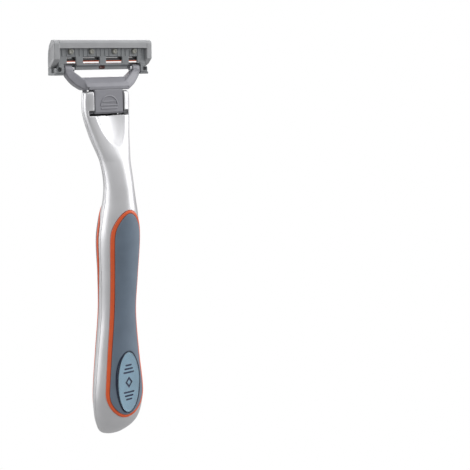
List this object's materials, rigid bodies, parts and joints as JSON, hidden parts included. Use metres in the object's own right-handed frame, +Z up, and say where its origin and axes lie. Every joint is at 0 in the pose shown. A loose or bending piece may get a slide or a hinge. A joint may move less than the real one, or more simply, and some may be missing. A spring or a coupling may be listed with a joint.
{
  "type": "cartridge razor",
  "caption": "Contoured razor handle with two soft grips, orange trim and a badge, and a removable pivoting cartridge of slanted blades on a plug-in yoke.",
  "frame": {"origin": "centre of the handle's narrow neck, where a razor stand's fork holds it", "axes": "+Z runs up the handle to the head; the thumb side with the badge faces -Y and the blades face +Y; X=0 is the mirror plane"},
  "size_m": [0.04, 0.0195, 0.1408],
  "materials": {
    "silver_shell": "satin silver paint on moulded plastic",
    "weight_metal": "cast, plain",
    "soft_grip": "matt blue-grey soft grip",
    "orange_trim": "satin orange soft trim",
    "badge_dark": "dark navy, glossy",
    "badge_print": null,
    "badge_clear": "clear domed resin",
    "black_plastic": "black, matt",
    "yoke_plastic": "mid grey, satin",
    "frame_plastic": "mid grey, satin",
    "cap_plastic": "light grey, satin",
    "plate_plastic": "pale grey, satin",
    "orange_guard": "orange soft guard, finely textured",
    "orange_strip": "orange lubricating strip",
    "blade_steel": "ground blade steel",
    "spring_steel": "bright spring steel",
    "spacer_plastic": "grey, satin"
  },
  "bodies": {
    "handle": {"handle_back_shell": "silver_shell", "handle_front_shell": "silver_shell", "handle_weight": "weight_metal", "back_grip": "soft_grip", "front_grip": "soft_grip", "back_trim_ring": "orange_trim", "front_trim_ring": "orange_trim", "badge_seat": "badge_dark", "badge_plate": "badge_print", "badge_dome": "badge_clear", "dock_block": "black_plastic"},
    "yoke": {"yoke": "yoke_plastic", "return_springs": "spring_steel"},
    "tab": {"release_tab": "yoke_plastic"},
    "head": {"guard_frame": "frame_plastic", "cap_frame": "cap_plastic", "stake_pins": "cap_plastic", "guard_bar": "orange_guard", "cap_plate": "plate_plastic", "lube_strip": "orange_strip", "blade_1": "blade_steel", "blade_2": "blade_steel", "blade_3": "blade_steel", "blade_support_1": "spring_steel", "blade_support_2": "spring_steel", "blade_support_3": "spring_steel", "spacer_lower": "spacer_plastic", "spacer_upper": "spacer_plastic"}
  },
  "joints": [
    {"name": "cartridge_slide", "type": "slide", "parent": "handle", "child": "yoke", "axis": [0, 0, 1], "range_m": [0, 0.014]},
    {"name": "release_tab_flex", "type": "hinge", "parent": "yoke", "child": "tab", "pos_m": [0, 0.00555, 0.03375], "axis": [1, 0, 0], "range_deg": [0, 6], "stiffness_Nm_per_rad": 0.003},
    {"name": "head_pivot", "type": "hinge", "parent": "yoke", "child": "head", "pos_m": [0, 0.0092, 0.041], "axis": [1, 0, 0], "range_deg": [0, 40], "stiffness_Nm_per_rad": 0.004, "springref_deg": -14.32}
  ]
}
